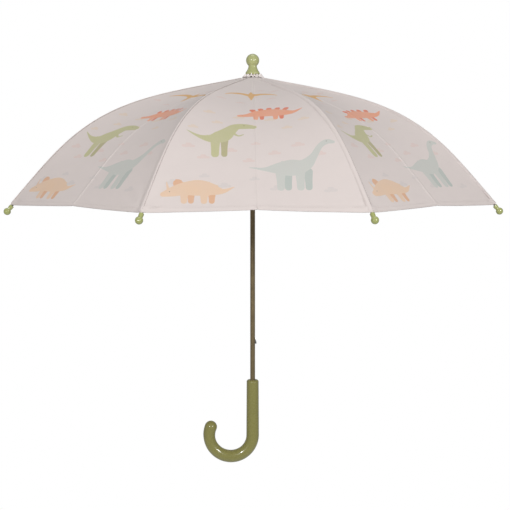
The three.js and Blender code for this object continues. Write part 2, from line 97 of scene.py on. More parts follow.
_arcs = np.linspace(0, RIB_ARC + 30, 4281)
_bend = 1 - (1 - np.minimum(_arcs / RIB_ARC, 1) ** BEND_RISE) ** BEND_FALL
_slopes = TOP_SLOPE + (HEM_SLOPE - TOP_SLOPE) * _bend
_step = _arcs[1] - _arcs[0]
_middle = (_slopes[1:] + _slopes[:-1]) / 2
_radii = TOP_R + np.concatenate([[0], np.cumsum(np.cos(_middle)) * _step])
_heights = TOP_Z - np.concatenate([[0], np.cumsum(np.sin(_middle)) * _step])


def profile(arc, drop=0.0):
    """r, z and slope of the cloth over a rib, or of a line drop millimetres under it."""
    slope = np.interp(arc, _arcs, _slopes)
    r = np.interp(arc, _arcs, _radii) - drop * np.sin(slope)
    return r, np.interp(arc, _arcs, _heights) - drop * np.cos(slope), slope


def half_width(arc):
    return profile(arc)[0] * math.sin(HALF_GORE)


def gore_points(arc, across, side, lift):
    """Points of the half gore beside a rib at azimuth 0. across is 0 at the rib and 1 at the crease."""
    r, z, slope = profile(arc)
    along = np.clip((arc - SAG_START) / (RIB_ARC - SAG_START), 0, 1)
    lift = lift - CREASE_SAG * np.sin(math.pi * along) * across * (2 - across)
    crease_x = r * math.cos(HALF_GORE) ** 2
    crease_y = r * math.cos(HALF_GORE) * math.sin(HALF_GORE)
    turn = HALF_GORE * np.minimum(1, across * 4)
    return np.stack(
        [
            r + (crease_x - r) * across + lift * np.sin(slope) * np.cos(turn),
            side * (crease_y * across + lift * np.sin(slope) * np.sin(turn)),
            z + lift * np.cos(slope),
        ],
        -1,
    )


def turned_about_z(points, angle):
    c, s = math.cos(angle), math.sin(angle)
    return points @ np.array([[c, s, 0], [-s, c, 0], [0, 0, 1]])


# ---- colours, as sRGB numbers from 0 to 255 ----
def linear(rgb):
    c = np.asarray(rgb, float) / 255
    return tuple(np.where(c <= 0.04045, c / 12.92, ((c + 0.055) / 1.055) ** 2.4))


CLOTH_COLOUR = linear((226, 215, 211))
INKS = {
    "ochre": linear((226, 174, 98)),
    "coral": linear((238, 163, 128)),
    "deep_coral": linear((229, 122, 88)),
    "sage": linear((194, 192, 143)),
    "deep_sage": linear((181, 175, 130)),
    "mist": linear((203, 205, 199)),
    "deep_mist": linear((186, 194, 188)),
    "peach": linear((233, 200, 170)),
    "deep_peach": linear((226, 176, 138)),
    "eye": linear((112, 104, 84)),
    "thread": linear((206, 194, 190)),
    # shade: painted shade, put on the cloth's cut edges as the dark line under the hem's rounded fold
    "shade": linear((138, 124, 116)),
    "faint_rose": linear((226, 207, 201)),
    "faint_sand": linear((228, 210, 194)),
    "faint_grey": linear((218, 209, 206)),
}


# ---- node materials ----
def new_material(name, colour, roughness, metallic=0.0, **sockets):
    m = bpy.data.materials.new(name)
    m.use_nodes = True
    shader = m.node_tree.nodes["Principled BSDF"]
    shader.inputs["Base Color"].default_value = (*colour, 1)
    shader.inputs["Roughness"].default_value = roughness
    shader.inputs["Metallic"].default_value = metallic
    for key, value in sockets.items():
        shader.inputs[key.replace("_", " ")].default_value = value
    return m, m.node_tree, shader


def add(tree, kind, **settings):
    node = tree.nodes.new(kind)
    for key, value in settings.items():
        setattr(node, key, value)
    return node


def noise(tree, vector, scale, detail=3.0):
    n = add(tree, "ShaderNodeTexNoise")
    for key, value in (("Scale", scale), ("Detail", detail), ("Roughness", 0.55)):
        n.inputs[key].default_value = value
    tree.links.new(vector, n.inputs["Vector"])
    return n.outputs["Fac"]


def remap(tree, value, low, high, to_low, to_high):
    n = add(tree, "ShaderNodeMapRange")
    for i, x in zip(("From Min", "From Max", "To Min", "To Max"), (low, high, to_low, to_high)):
        n.inputs[i].default_value = x
    tree.links.new(value, n.inputs["Value"])
    return n.outputs["Result"]


def maths(tree, operation, *values):
    n = add(tree, "ShaderNodeMath", operation=operation)
    for socket, value in zip(n.inputs, values):
        if isinstance(value, (int, float)):
            socket.default_value = value
        else:
            tree.links.new(value, socket)
    return n.outputs[0]


def tinted(tree, colour, factor, other):
    """colour mixed towards other by factor, a socket. Each colour is a socket or a tuple."""
    n = add(tree, "ShaderNodeMix", data_type="RGBA")
    fac = next(s for s in n.inputs if s.type == "VALUE")
    ends = [s for s in n.inputs if s.type == "RGBA"]
    for socket, value in zip((fac, *ends), (factor, colour, other)):
        if isinstance(value, tuple):
            socket.default_value = (*value, 1)
        else:
            tree.links.new(value, socket)
    return next(s for s in n.outputs if s.type == "RGBA")


def bump(tree, shader, height, strength, distance):
    n = add(tree, "ShaderNodeBump")
    n.inputs["Strength"].default_value = strength
    n.inputs["Distance"].default_value = distance
    tree.links.new(height, n.inputs["Height"])
    tree.links.new(n.outputs["Normal"], shader.inputs["Normal"])


def weave(tree, vector, pitch):
    """A plain weave's height, from 0 to 1: threads pitch metres apart both ways."""
    split = add(tree, "ShaderNodeSeparateXYZ")
    tree.links.new(vector, split.inputs[0])
    waves = []
    for axis in (0, 1):
        angle = maths(tree, "MULTIPLY", split.outputs[axis], 2 * math.pi / pitch)
        waves.append(maths(tree, "SINE", angle))
    return maths(tree, "MULTIPLY_ADD", maths(tree, "MULTIPLY", *waves), 0.5)


def cloth_material(name, colour=None, pitch=0.0006):
    """Plain-woven polyester. With no colour it takes its colours from the mesh: the print, thread, and
    painted shade on the cloth's cut edges.
    """
    base = colour or CLOTH_COLOUR
    m, tree, shader = new_material(name, base, 0.78, Sheen_Weight=0.12, Sheen_Roughness=0.5)
    uv = add(tree, "ShaderNodeUVMap", uv_map="flat").outputs["UV"]
    if colour is None:
        base = add(tree, "ShaderNodeAttribute", attribute_name="print_and_painted_shade").outputs["Color"]
    cloudy = remap(tree, noise(tree, uv, 38, 4), 0.3, 0.7, 0.0, 0.16)
    speckle = remap(tree, noise(tree, uv, 900, 2), 0.35, 0.65, 0.0, 0.10)
    dyed = tinted(tree, base, cloudy, tuple(c * 0.86 for c in CLOTH_COLOUR))
    threads = tinted(tree, dyed, speckle, tuple(min(1, c * 1.1) for c in CLOTH_COLOUR))
    tree.links.new(threads, shader.inputs["Base Color"])
    bump(tree, shader, weave(tree, uv, pitch), 0.25, pitch * 0.25)
    rough = remap(tree, noise(tree, uv, 120, 3), 0.3, 0.7, 0.70, 0.84)
    tree.links.new(rough, shader.inputs["Roughness"])
    return m


def plastic_material(name, colour, roughness, shade=0.9):
    """Moulded gloss plastic, with faint flow marks and a slightly uneven shine."""
    m, tree, shader = new_material(name, colour, roughness, Coat_Weight=0.9, Coat_Roughness=0.045)
    where = add(tree, "ShaderNodeTexCoord").outputs["Object"]
    flow = remap(tree, noise(tree, where, 40, 2), 0.3, 0.7, 0.0, 0.35)
    base = tinted(tree, colour, flow, tuple(c * shade for c in colour))
    tree.links.new(base, shader.inputs["Base Color"])
    rough = remap(tree, noise(tree, where, 420, 4), 0.3, 0.75, roughness * 0.8, roughness * 1.35)
    tree.links.new(rough, shader.inputs["Roughness"])
    bump(tree, shader, noise(tree, where, 90, 1), 0.01, 0.0003)
    return m


def metal_material(name, colour, roughness, metallic):
    """Drawn or painted metal, with a fine grain and slight mottling."""
    m, tree, shader = new_material(name, colour, roughness, metallic)
    where = add(tree, "ShaderNodeTexCoord").outputs["Object"]
    mottle = remap(tree, noise(tree, where, 90, 4), 0.3, 0.7, 0.0, 1.0)
    base = tinted(tree, colour, mottle, tuple(c * 0.75 for c in colour))
    tree.links.new(base, shader.inputs["Base Color"])
    fine = noise(tree, where, 700)
    rough = remap(tree, fine, 0.3, 0.7, roughness * 0.8, roughness * 1.3)
    tree.links.new(rough, shader.inputs["Roughness"])
    bump(tree, shader, fine, 0.08, 0.0002)
    return m


PRINTED = cloth_material("printed_cloth")
PLAIN = cloth_material("seam_cloth", CLOTH_COLOUR)
COLLAR = cloth_material("collar_cloth", linear((250, 242, 240)), 0.0005)
THREAD = cloth_material("sewing_thread", linear((214, 202, 198)), 0.0002)
# A dark thread whose colour is painted shadow: it stands for the shadow in the groove beside each seam.
SEAM_SHADOW_THREAD = cloth_material("seam_shadow_thread", linear((122, 108, 100)), 0.0002)
TIP_PLASTIC = plastic_material("tip_plastic", linear((176, 182, 114)), 0.22)
FINIAL_PLASTIC = plastic_material("finial_plastic", linear((188, 192, 132)), 0.24)
HANDLE_PLASTIC = plastic_material("handle_plastic", linear((147, 143, 80)), 0.26)
BLACK_PLASTIC = plastic_material("black_plastic", linear((38, 38, 41)), 0.42, 0.7)
BRONZE = metal_material("bronze_paint", linear((142, 125, 92)), 0.34, 0.45)
FRAME_STEEL = metal_material("frame_steel", linear((150, 150, 150)), 0.36, 0.8)
BRIGHT_STEEL = metal_material("bright_steel", linear((190, 190, 188)), 0.25, 1.0)


# ---- meshes ----
def mesh_object(name, points, faces, material, smooth=40):
    """A mesh from points in millimetres. Edges sharper than smooth degrees stay sharp."""
    mesh = bpy.data.meshes.new(name)
    mesh.from_pydata((np.asarray(points, float) * MM).tolist(), [], faces)
    mesh.validate()
    mesh.materials.append(material)
    outward(mesh)
    shade_smoothly(mesh, smooth)
    return linked(name, mesh)


def linked(name, data):
    obj = bpy.data.objects.new(name, data)
    bpy.context.scene.collection.objects.link(obj)
    return obj


def shade_smoothly(mesh, degrees):
    mesh.shade_smooth()
    mesh.set_sharp_from_angle(angle=math.radians(degrees))


def shown(obj, body, node=None):
    """Puts a piece on its body, in place of a CAD node if one is named."""
    if node:
        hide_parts(node)
    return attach(obj, body)


def outward(mesh):
    bm = bmesh.new()
    bm.from_mesh(mesh)
    bmesh.ops.recalc_face_normals(bm, faces=bm.faces)
    bm.to_mesh(mesh)
    bm.free()


def band(low, high, n):
    """Quads between two closed rings of n points whose first indices are low and high."""
    return [(low + j, low + (j + 1) % n, high + (j + 1) % n, high + j) for j in range(n)]


def lathe(name, profile_points, material, segments=48, smooth=40):
    """A turned piece about Z, from [r, z] points. A point with r = 0 is a pole, and an outline that
    doesn't start at a pole is closed."""
    points, rings, faces = [], [], []
    for r, z in profile_points:
        sides = 1 if r < 1e-6 else segments
        rings.append((len(points), sides))
        for i in range(sides):
            a = 2 * math.pi * i / segments
            points.append((r * math.cos(a), r * math.sin(a), z))
    closed = rings[0][1] > 1
    for (low, low_sides), (high, high_sides) in zip(rings, rings[1:] + (rings[:1] if closed else [])):
        if low_sides == high_sides:
            faces += band(low, high, segments)
            continue
        pole, ring = (low, high) if low_sides == 1 else (high, low)
        faces += [(pole, ring + (i + 1) % segments, ring + i) for i in range(segments)]
    return mesh_object(name, points, faces, material, smooth)


def sweep(name, line, sections, material, smooth):
    """A closed tube along a line in one vertical plane (y constant). sections holds one outline per
    point of the line, each a list of [sideways, up] offsets."""
    line = np.asarray(line, float)
    ahead = np.gradient(line, axis=0)
    ahead /= np.linalg.norm(ahead, axis=1)[:, None]
    sideways = np.array([0, 1, 0])
    up = np.cross(ahead, sideways)
    points = []
    for p, u, outline in zip(line, up, sections):
        for a, b in outline:
            points.append(p + sideways * a + u * b)
    return mesh_object(name, points, tube_faces(len(line), len(sections[0])), material, smooth)


def tube_faces(rows, n):
    """The faces of a capped tube of rows of n points each."""
    faces = [quad for i in range(rows - 1) for quad in band(i * n, (i + 1) * n, n)]
    last = (rows - 1) * n
    return [*faces, tuple(range(n))[::-1], tuple(range(last, last + n))]


def circle(radius, sides=28):
    return [
        (radius * math.cos(2 * math.pi * i / sides), radius * math.sin(2 * math.pi * i / sides))
        for i in range(sides)
    ]


def rounded(profile_points, radius, steps=4):
    """An outline of [r, z] points with each inner corner rounded."""
    pts = [np.array(p, float) for p in profile_points]
    out = [pts[0]]
    for a, b, c in zip(pts, pts[1:], pts[2:]):
        cut = min(radius, np.linalg.norm(b - a) * 0.45, np.linalg.norm(c - b) * 0.45)
        start = b + (a - b) / np.linalg.norm(a - b) * cut
        end = b + (c - b) / np.linalg.norm(c - b) * cut
        for i in range(steps + 1):
            t = i / steps
            out.append((1 - t) ** 2 * start + 2 * t * (1 - t) * b + t * t * end)
    out.append(pts[-1])
    return [tuple(p) for p in out]


def box(name, sizes, centre, material):
    corners = [(a, b, c) for a in (-0.5, 0.5) for b in (-0.5, 0.5) for c in (-0.5, 0.5)]
    faces = [(0, 1, 3, 2), (4, 6, 7, 5), (0, 4, 5, 1), (2, 3, 7, 6), (0, 2, 6, 4), (1, 5, 7, 3)]
    return mesh_object(name, np.array(centre) + np.array(sizes) * corners, faces, material)


def cut_away(obj, cutters):
    """Takes the cutters' volumes away from obj and removes them."""
    for cutter in cutters:
        m = obj.modifiers.new("cut", "BOOLEAN")
        m.operation = "DIFFERENCE"
        m.solver = "EXACT"
        m.object = cutter
    apply_modifiers(obj)
    for cutter in cutters:
        bpy.data.objects.remove(cutter)


def apply_modifiers(obj):
    bpy.context.view_layer.update()
    evaluated = obj.evaluated_get(bpy.context.evaluated_depsgraph_get())
    made = bpy.data.meshes.new_from_object(evaluated)
    old = obj.data
    obj.modifiers.clear()
    obj.data = made
    bpy.data.meshes.remove(old)


def bevelled(obj, width, angle=35):
    m = obj.modifiers.new("bevel", "BEVEL")
    m.width = width * MM
    m.segments = 2
    m.limit_method = "ANGLE"
    m.angle_limit = math.radians(angle)
    m.harden_normals = False
    apply_modifiers(obj)
    shade_smoothly(obj.data, angle)
    return obj


def place(obj, matrix):
    obj.data.transform(matrix)
    return obj


def about_z(angle):
    return Matrix.Rotation(angle, 4, "Z")


def shift(x, z):
    return Matrix.Translation(Vector((x, 0, z)) * MM)


# ---- the print: plain made-up animals drawn as strokes on the flat gore ----
# A gore's flat coordinates are x, sideways from its crease, and s, the arc length from the crown.
class Stroke:
    """A smooth line of changing width. Its points are (x, up, width) in the animal's own box."""

    def __init__(self, ink, *points):
        self.ink = ink
        knots = np.array(points, float)
        padded = np.vstack([2 * knots[0] - knots[1], knots, 2 * knots[-1] - knots[-2]])
        line = []
        for p0, p1, p2, p3 in zip(padded, padded[1:], padded[2:], padded[3:]):
            for t in np.arange(0, 1, 0.2):
                line.append(
                    0.5 * (2 * p1 + (p2 - p0) * t + (2 * p0 - 5 * p1 + 4 * p2 - p3) * t**2
                           + (3 * p1 - p0 - 3 * p2 + p3) * t**3)
                )
        line.append(knots[-1])
        self.line = np.array(line)
        self.line[:, 2] = np.maximum(self.line[:, 2] / 2, 0.25)

    def outline(self):
        ahead = np.gradient(self.line[:, :2], axis=0)
        ahead /= np.linalg.norm(ahead, axis=1)[:, None]
        off = np.stack([-ahead[:, 1], ahead[:, 0]], -1) * self.line[:, 2:3]
        left, right = self.line[:, :2] + off, self.line[:, :2] - off
        caps = []
        for end, turn in ((-1, -1), (0, 1)):
            centre, radius = self.line[end, :2], self.line[end, 2]
            start = math.atan2(*(off[end] * -turn)[::-1])
            angles = start - np.linspace(0, math.pi, 6)[1:-1]
            caps.append(centre + radius * np.stack([np.cos(angles), np.sin(angles)], -1))
        return np.vstack([left, caps[0], right[::-1], caps[1]])

    def holds(self, p):
        a, b = self.line[:-1], self.line[1:]
        d = b[:, :2] - a[:, :2]
        rel = p[:, None, :] - a[None, :, :2]
        t = np.clip((rel * d).sum(-1) / np.maximum((d * d).sum(-1), 1e-9), 0, 1)
        gap = np.linalg.norm(rel - t[..., None] * d, axis=-1)
        return (gap <= a[:, 2] + (b[:, 2] - a[:, 2]) * t).any(1)

    def moved(self, dx, dy, wide, tall):
        self.line = self.line * [wide, tall, math.sqrt(wide * tall)] + [dx, dy, 0]


def blot(ink, x, up, width, height, turn=0.0):
    """An oval or a plate, as a short stroke."""
    c, s = math.cos(math.radians(turn)), math.sin(math.radians(turn))
    half = max(height - width, 0.2) / 2
    return Stroke(ink, *((x + end * s * half, up + end * c * half, width) for end in (-1, 0, 1)))


def strokes(ink, *lines):
    return [Stroke(ink, *line) for line in lines]


def legs(ink, *places, foot=3.5, thick=10):
    """Straight legs, each from its (x, up) under the body down to the ground."""
    lines = [[(x, up, thick), (x, up / 2, thick * 0.8), (x, foot, thick * 0.75)] for x, up in places]
    return strokes(ink, *lines)


def long_neck():
    """A plain four-legged figure facing right, its neck leaning forward and its tail held level."""
    body = Stroke("mist", (0, 38, 1), (18, 35, 6), (36, 36, 20), (52, 37, 28), (68, 41, 20), (80, 56, 10),
                  (88, 72, 8), (97, 79, 9), (105, 77, 5))
    far, near = legs("deep_mist", (47, 28), (72, 30), thick=11), legs("mist", (38, 28), (62, 28), thick=12)
    return [*far, body, *near, blot("eye", 97, 80, 1.2, 1.2)]


def two_legged():
    """A plain upright figure facing right, with a raised tail."""
    body = Stroke("sage", (0, 46, 0.8), (16, 37, 6), (32, 34, 16), (46, 40, 24), (56, 53, 18), (65, 64, 14),
                  (78, 66, 13), (89, 64, 8))
    arm = Stroke("sage", (60, 50, 5), (68, 43, 3), (75, 46, 1.8))
    far, near = legs("deep_sage", (50, 32), thick=10), legs("sage", (38, 32), thick=13)
    return [*far, body, arm, *near, blot("eye", 76, 68, 1.4, 1.4)]


def plated():
    """A plain four-legged figure facing left, with five round plates over an arched back."""
    body = Stroke("coral", (0, 12, 6), (10, 14, 9), (24, 20, 18), (40, 23, 24), (56, 20, 19), (70, 17, 9),
                  (84, 24, 0.8))
    plates = []
    for i in range(5):
        t = i / 4
        up = 27 + 8.5 * math.sin(math.pi * (0.15 + 0.7 * t))
        plates.append(blot("deep_coral", 18 + 44 * t, up, 7, 10, 60 * t - 30))
    far, near = legs("deep_coral", (30, 14), (56, 14), thick=7), legs("coral", (22, 14), (48, 14), thick=8)
    return [*far, *plates, body, *near, blot("eye", 4, 13, 1, 1)]


def flying():
    """A plain flyer seen from above: two even wings and a short tail."""
    wings = [Stroke("ochre", (40, 26, 10), (40 + s * 14, 33, 8), (40 + s * 28, 28, 4), (40 + s * 38, 18, 1))
             for s in (-1, 1)]
    return [*wings, Stroke("ochre", (40, 4, 1), (40, 16, 6), (40, 27, 10), (40, 36, 6), (40, 45, 1.5))]


def horned():
    """A plain four-legged figure facing left, with a round frill and one upright horn."""
    body = Stroke("peach", (2, 14, 8), (12, 18, 14), (26, 23, 20), (42, 25, 25), (56, 23, 20), (70, 20, 8),
                  (84, 27, 0.8))
    head = [blot("deep_peach", 20, 26, 12, 24, -15), Stroke("peach", (8, 20, 4), (6, 27, 2.6), (5, 33, 0.8))]
    far, near = legs("deep_peach", (34, 16), (58, 16), thick=9), legs("peach", (26, 16), (49, 16), thick=10)
    return [*far, head[0], body, head[1], *near, blot("eye", 9, 18, 1.2, 1.2)]


def placed(animal, left, low_arc, wide=1.0, tall=1.0):
    """An animal on the gore: its box's lower left corner is at x = left and s = low_arc."""
    for stroke in animal:
        stroke.moved(left, -low_arc, wide, tall)
    return animal


def doodles():
    """Faint tufts, each of three blots, spread evenly over the ground between the animals."""
    inks = ("faint_rose", "faint_sand", "faint_rose", "faint_grey")
    top, low = 90, 386
    made = []
    for i in range(30):
        arc = math.sqrt(top**2 + (low**2 - top**2) * ((0.5 + i * 0.7549) % 1))
        x = (2 * ((0.5 + i * 0.5698) % 1) - 1) * (half_width(arc) - 13)
        size = 0.8 + 0.35 * ((i * 0.733) % 1)
        for shift, up, long in ((-3.3, 0, 8), (3.2, 0.7, 9), (0.4, 3.4, 7)):
            made.append(blot(inks[i % 4], x + shift * size, up * size - arc, 4.2 * size, long * size, 90))
    return made


ANIMALS = [
    *doodles(),
    *placed(flying(), -40, 150, 0.9),
    *placed(plated(), -20, 222, 0.95),
    *placed(two_legged(), -84, 306, 0.92),
    *placed(long_neck(), -8, 362, 0.96),
    *placed(horned(), -110, 384),
]

# ---- the cloth: each gore is cut once, flat, and each half is a mesh with the print's outlines in it ----
FOLD_DEPTH = 7  # width of the hem's fold


def hem_arc(across):
    return RIB_ARC - HEM_RISE * across**2


def border(sign, wide):
    """The outline of a flat half gore: down its rib edge, along its hem and up its crease."""
    arcs = np.append(np.arange(CLOTH_START, RIB_ARC, 5.0), RIB_ARC)
    rib_edge = [(sign * half_width(s), -s) for s in arcs]
    hem = [(sign * x, -hem_arc(1 - x / wide)) for x in np.arange(wide - 5, 2.5, -5.0)]
    crease_arcs = np.append(np.arange(hem_arc(1.0), CLOTH_START, -5.0), CLOTH_START)
    return np.array(rib_edge + hem + [(0, -s) for s in crease_arcs])


def fold_lines(sign, wide):
    """Lines of points beside the hem's edge and its fold, and beside the crease."""
    lines = []
    for inset in (0.45, 1.0, FOLD_DEPTH - 0.5, FOLD_DEPTH + 0.5):
        xs = np.append(np.arange(0.5, wide - 3, 5.0), wide - 3)
        lines.append([(sign * x, inset - hem_arc(1 - x / wide)) for x in xs])
    for x in (0.8, 2.0):
        lines.append([(sign * x, -s) for s in np.arange(24, hem_arc(1.0) - 1, 6.0)])
    return lines


def flat_half(sign):
    """The half gore on the crease's right (sign 1) or left (-1), flat: points, triangles and inks."""
    step = 6.0
    wide = half_width(RIB_ARC)
    points, edges = [], []

    def chain(line, closed):
        first = len(points)
        points.extend(Vector((float(x), float(y))) for x, y in line)
        n = len(line)
        edges.extend((first + i, first + (i + 1) % n) for i in range(n if closed else n - 1))

    chain(border(sign, wide), True)
    for line in fold_lines(sign, wide):
        chain(line, False)
    for animal in ANIMALS:
        outline = animal.outline()
        if (outline[:, 0] * sign).max() > 0.3:
            chain(outline, True)
    for row, arc in enumerate(np.arange(CLOTH_START + 4, RIB_ARC - 2, step)):
        w = half_width(arc)
        for x in np.arange(3 + (row % 2) * step / 2, w - 2.5, step):
            if arc < hem_arc(1 - x / w) - 2:
                points.append(Vector((float(sign * x), float(-arc))))
    made = delaunay_2d_cdt(points, edges, [], 0, 1e-3)
    pts = np.array([tuple(v) for v in made[0]])
    tris = np.array([f for f in made[2] if len(f) == 3])
    middle = pts[tris].mean(1)
    ms = -middle[:, 1]
    w = half_width(ms)
    x = middle[:, 0] * sign
    inside = (x > 0) & (x < w) & (ms > CLOTH_START) & (ms < hem_arc(1 - np.clip(x / w, 0, 1)))
    tris, middle = tris[inside], middle[inside]
    inks = np.full(len(tris), -1)
    for i, a in enumerate(ANIMALS):
        inks[a.holds(middle)] = i
    used, tris = np.unique(tris, return_inverse=True)
    return pts[used], tris.reshape(-1, 3), inks


def shaped(pts):
    """For flat points: arc, across and how far the cloth stands off its plane."""
    arc = -pts[:, 1]
    w = half_width(arc)
    x = np.abs(pts[:, 0])
    across = np.clip(1 - x / w, 0, 1)
    ridge = 0.55 * np.exp(-((x / 1.1) ** 2)) * np.clip((arc - 20) / 30, 0, 1)
    above_hem = hem_arc(across) - arc
    fold = 0.3 * np.clip((FOLD_DEPTH - above_hem) / 0.8 + 0.5, 0, 1)
    fold -= 0.8 * np.clip(1 - above_hem, 0, 1) ** 2
    from_rib, below = across * w, RIB_ARC - arc
    reach = np.hypot(from_rib, below)
    angle = np.arctan2(from_rib, below + 1e-6)
    tip = 0.8 * np.sin(angle * 11 + 0.6) * np.exp(-((reach / 38) ** 2)) * np.clip(reach / 9, 0, 1)
    pull = 0.5 * np.sin(arc / 23 + 1.3) * np.exp(-from_rib / 9) * np.clip(from_rib / 3, 0, 1)
    swell = 0.7 * np.sin(arc / 41 + pts[:, 0] / 37) * across * (1 - across)
    return arc, across, ridge + fold + tip + pull + swell


def paint(mesh, name, colours_per_face):
    """Stores each face's colour at all of its corners."""
    layer = mesh.color_attributes.new(name, "FLOAT_COLOR", "CORNER")
    loops = np.zeros(len(mesh.loops) * 4, np.float32).reshape(-1, 4)
    for polygon, colour in zip(mesh.polygons, colours_per_face):
        loops[polygon.loop_start:polygon.loop_start + polygon.loop_total] = (*colour, 1)
    layer.data.foreach_set("color", loops.ravel())


def flat_map(mesh, places):
    """A UV map in metres on the flat cloth, from one place per vertex in millimetres."""
    layer = mesh.uv_layers.new(name="flat")
    index = np.zeros(len(mesh.loops), np.int32)
    mesh.loops.foreach_get("vertex_index", index)
    layer.data.foreach_set("uv", (np.asarray(places)[index] * MM).astype(np.float32).ravel())


FLATS = {"left": flat_half(-1), "right": flat_half(1)}
INK_COLOURS = np.array([INKS[a.ink] for a in ANIMALS] + [CLOTH_COLOUR])


def spindles(line, outward_at, pitch, length, thick):
    """Stitches along a line: rows of x, y, z and any further columns, which are carried along."""
    gaps = np.linalg.norm(np.diff(line[:, :3], axis=0), axis=1)
    run = np.concatenate([[0], np.cumsum(gaps)])
    points, faces = [], []
    for start in np.arange(pitch / 2, run[-1] - length, pitch):
        at = [
            np.array([np.interp(start + t * length, run, column) for column in line.T]) for t in (0, 0.5, 1)
        ]
        out = np.array([np.interp(start, run, column) for column in outward_at.T])
        out /= np.linalg.norm(out)
        side = np.cross((at[2] - at[0])[:3], out)
        side /= np.linalg.norm(side)
        first = len(points)
        moves = [-out * 0.5, side, out, -side, -out, -out * 0.5]
        for base, move in zip((at[0], at[1], at[1], at[1], at[1], at[2]), moves):
            points.append(np.concatenate([base[:3] + move * thick, base[3:]]))
        for i in range(4):
            a, b = first + 1 + i, first + 1 + (i + 1) % 4
            faces += [(first, b, a), (first + 5, a, b)]
    return np.array(points), faces


def hem_stitches(side_sign):
    """Stitches along the hem's fold: their points carry across and the flat x and y."""
    across = np.linspace(0.03, 0.995, 60)
    arcs = hem_arc(across) - FOLD_DEPTH + 1.4
    x = (1 - across) * half_width(arcs) * -side_sign
    flat = np.stack([x, -arcs], -1)
    lift = shaped(flat)[2]
    line = gore_points(arcs, across, side_sign, lift + 0.1)
    out = gore_points(arcs, across, side_sign, lift + 1.1) - line
    return spindles(np.column_stack([line, across, flat]), out, 3.2, 2.3, 0.16)


def panel(k, side):
    """Half gore on the left or right of rib k, seen from outside: left panels lie ahead of the rib."""
    pts, tris, inks = FLATS[side]
    turn = 1 if side == "left" else -1
    arc, across, off = shaped(pts)
    outer = gore_points(arc, across, turn, off)
    inner = gore_points(arc, across, turn, off - CLOTH)
    sewn, sewn_faces = hem_stitches(turn)
    n = len(pts)
    faces = [tuple(t) for t in tris] + [tuple(t[::-1] + n) for t in tris]
    edges = np.sort(np.vstack([tris[:, [0, 1]], tris[:, [1, 2]], tris[:, [2, 0]]]), axis=1)
    rim, uses = np.unique(edges, axis=0, return_counts=True)
    faces += [(a, b, b + n, a + n) for a, b in rim[uses == 1]]
    faces += [tuple(i + 2 * n for i in f) for f in sewn_faces]
    colours = INK_COLOURS[inks]
    back = colours * 0.4 + np.array(CLOTH_COLOUR) * 0.52
    # The cloth's cut edges all round are painted dark: painted shade standing in for the shade under the
    # hem's rounded fold.
    rim_painted_shade = np.tile(INKS["shade"], ((uses == 1).sum(), 1))
    sewn_colours = np.tile(INKS["thread"], (len(sewn_faces), 1))
    points = turned_about_z(np.vstack([outer, inner, sewn[:, :3]]), rib_azimuth(k))
    name = f"cloth_{k}_{side}"
    mesh = bpy.data.meshes.new(name)
    mesh.from_pydata((points * MM).tolist(), [], faces)
    paint(mesh, "print_and_painted_shade", np.vstack([colours, back, rim_painted_shade, sewn_colours]))
    flat_map(mesh, np.vstack([pts, pts, sewn[:, 4:]]))
    mesh.materials.append(PRINTED)
    outward(mesh)
    shade_smoothly(mesh, 60)
    obj = linked(name, mesh)
    rib, body = f"rib_{k}", f"panel_{k}_{side}"
    start, end = points[across.argmin()] * MM, points[across.argmax()] * MM
    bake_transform(obj)
    a, b, c = (np.append(pts[tris[:, i]], np.zeros((len(tris), 1)), 1) for i in range(3))
    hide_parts(body)


for k in range(1, RIBS + 1):
    panel(k, "left")
    panel(k, "right")


# ---- seams over the ribs, with their topstitching, a dark stitch row of painted shadow beside each, and the ties that hold the cloth to the ribs ----
def on_gore(arcs, sideways, lift):
    """A line on the cloth at a distance sideways from a rib at azimuth 0, with its outward normals."""
    across = np.abs(sideways) / half_width(arcs)
    side = math.copysign(1, sideways)
    low = gore_points(arcs, across, side, lift)
    return low, gore_points(arcs, across, side, lift + 1) - low


def strip_along_rib(name, section, arcs, material):
    """A strip that runs down a rib at azimuth 0. Its section is a list of (sideways, lift)."""
    lines = [on_gore(arcs, sideways, lift)[0] for sideways, lift in section]
    points = np.stack(lines, 1).reshape(-1, 3)
    n = len(section)
    obj = mesh_object(name, points, tube_faces(len(arcs), n), material, smooth=60)
    sideways = np.tile([s for s, _ in section], len(arcs))
    flat_map(obj.data, np.stack([sideways, np.repeat(-arcs, n)], -1))
    return obj


def sewn_on(name, parts, material=THREAD, smooth=180):
    """Sewing as one object, from the points and faces of its parts."""
    points, faces = [], []
    for more, more_faces in parts:
        faces += [tuple(i + len(points) for i in f) for f in more_faces]
        points += list(more)
    obj = mesh_object(name, points, faces, material, smooth)
    flat_map(obj.data, np.array(points)[:, :2])
    return obj


def rib_tie(arc):
    """A loop of thread round a rib, sewn to the seam above it: points and faces."""
    r, z, slope = profile(arc, RIB_DROP - 0.4)
    along = np.array([math.cos(slope), 0, -math.sin(slope)])
    up = np.array([math.sin(slope), 0, math.cos(slope)])
    centre, side = np.array([r, 0, z]), np.array([0, 1, 0])
    points, faces = [], []
    steps, sides = 20, 6
    wide, tall = 1.75, 2.1
    for i in range(steps):
        a = 2 * math.pi * i / steps
        spoke = side * wide * math.cos(a) + up * tall * math.sin(a)
        lean = 0.5 * math.sin(a)
        for j in range(sides):
            b = 2 * math.pi * j / sides
            points.append(centre + spoke * (1 + 0.13 * math.cos(b)) + along * (0.26 * math.sin(b) + lean))
        faces += band(i * sides, (i + 1) % steps * sides, sides)
    return points, faces


